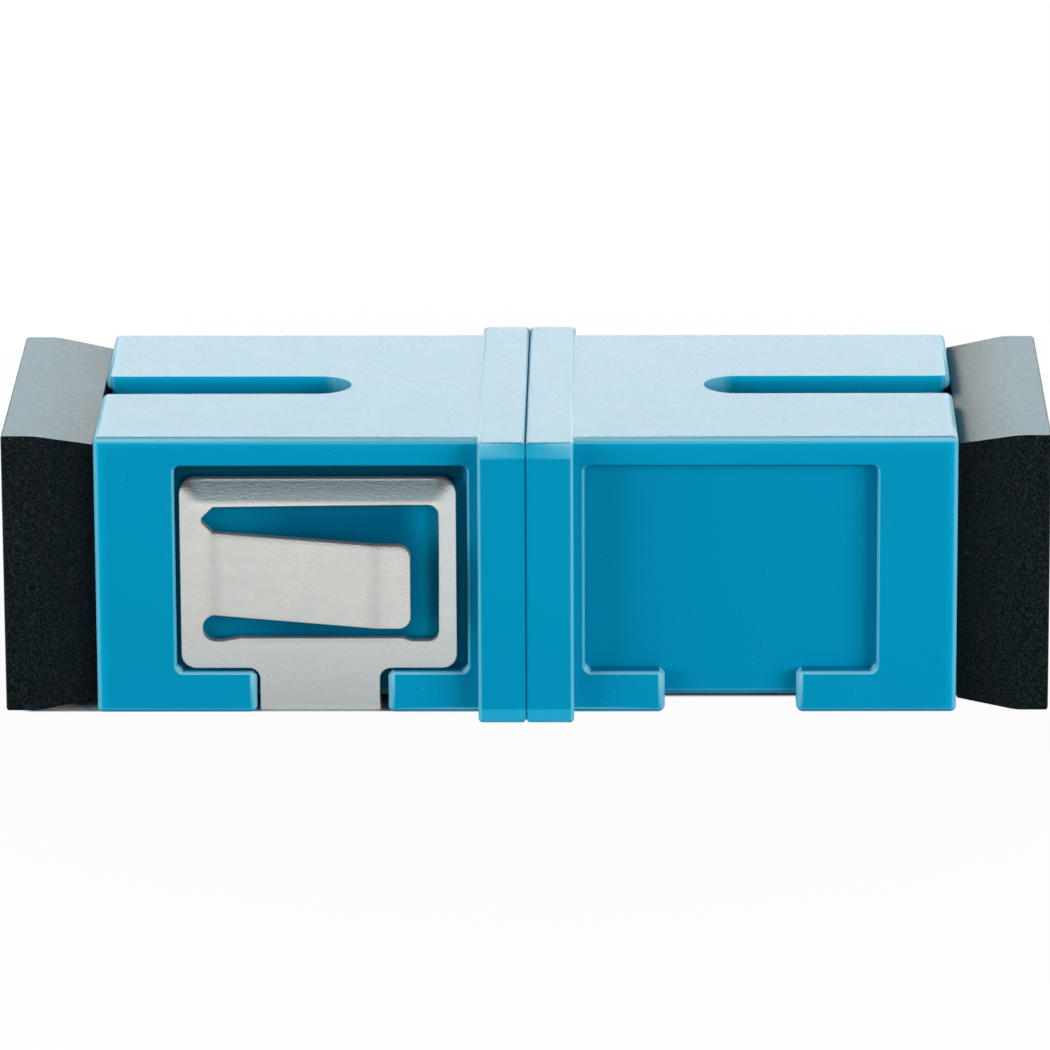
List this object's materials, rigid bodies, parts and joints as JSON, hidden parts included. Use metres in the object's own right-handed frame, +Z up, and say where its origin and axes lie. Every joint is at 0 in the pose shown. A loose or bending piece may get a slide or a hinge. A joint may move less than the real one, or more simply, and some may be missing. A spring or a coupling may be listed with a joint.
{
  "type": "fibre optic adapter",
  "caption": "Square push-pull fibre adapter: a welded two-half plastic housing with latch frames and a split ceramic sleeve inside, a folded steel panel clip and soft dust caps in its ports.",
  "frame": {"origin": "on the optical axis, in the weld plane between the two housing halves, which is the middle of the part's box", "axes": "+X along the optical axis, away from the half that carries the clip; +Y across the width; +Z up, towards the key slots"},
  "size_m": [0.034, 0.0156, 0.0094],
  "materials": {
    "housing_plastic": "satin moulded",
    "latch_plastic": "satin moulded",
    "sleeve_ceramic": "ground white zirconia",
    "clip_steel": "satin stainless sheet",
    "cap_rubber": "matt black"
  },
  "bodies": {
    "adapter": {"housing_left": "housing_plastic", "housing_right": "housing_plastic", "latch_frame_left": "latch_plastic", "latch_frame_right": "latch_plastic", "alignment_sleeve": "sleeve_ceramic", "retaining_clip": "clip_steel"},
    "cap_left": {"dust_cap_left": "cap_rubber"},
    "cap_right": {"dust_cap_right": "cap_rubber"}
  },
  "joints": [
    {"name": "left_cap_pull", "type": "slide", "parent": "adapter", "child": "cap_left", "axis": [-1, 0, 0], "range_m": [0, 0.015]},
    {"name": "right_cap_pull", "type": "slide", "parent": "adapter", "child": "cap_right", "axis": [1, 0, 0], "range_m": [0, 0.015]}
  ]
}
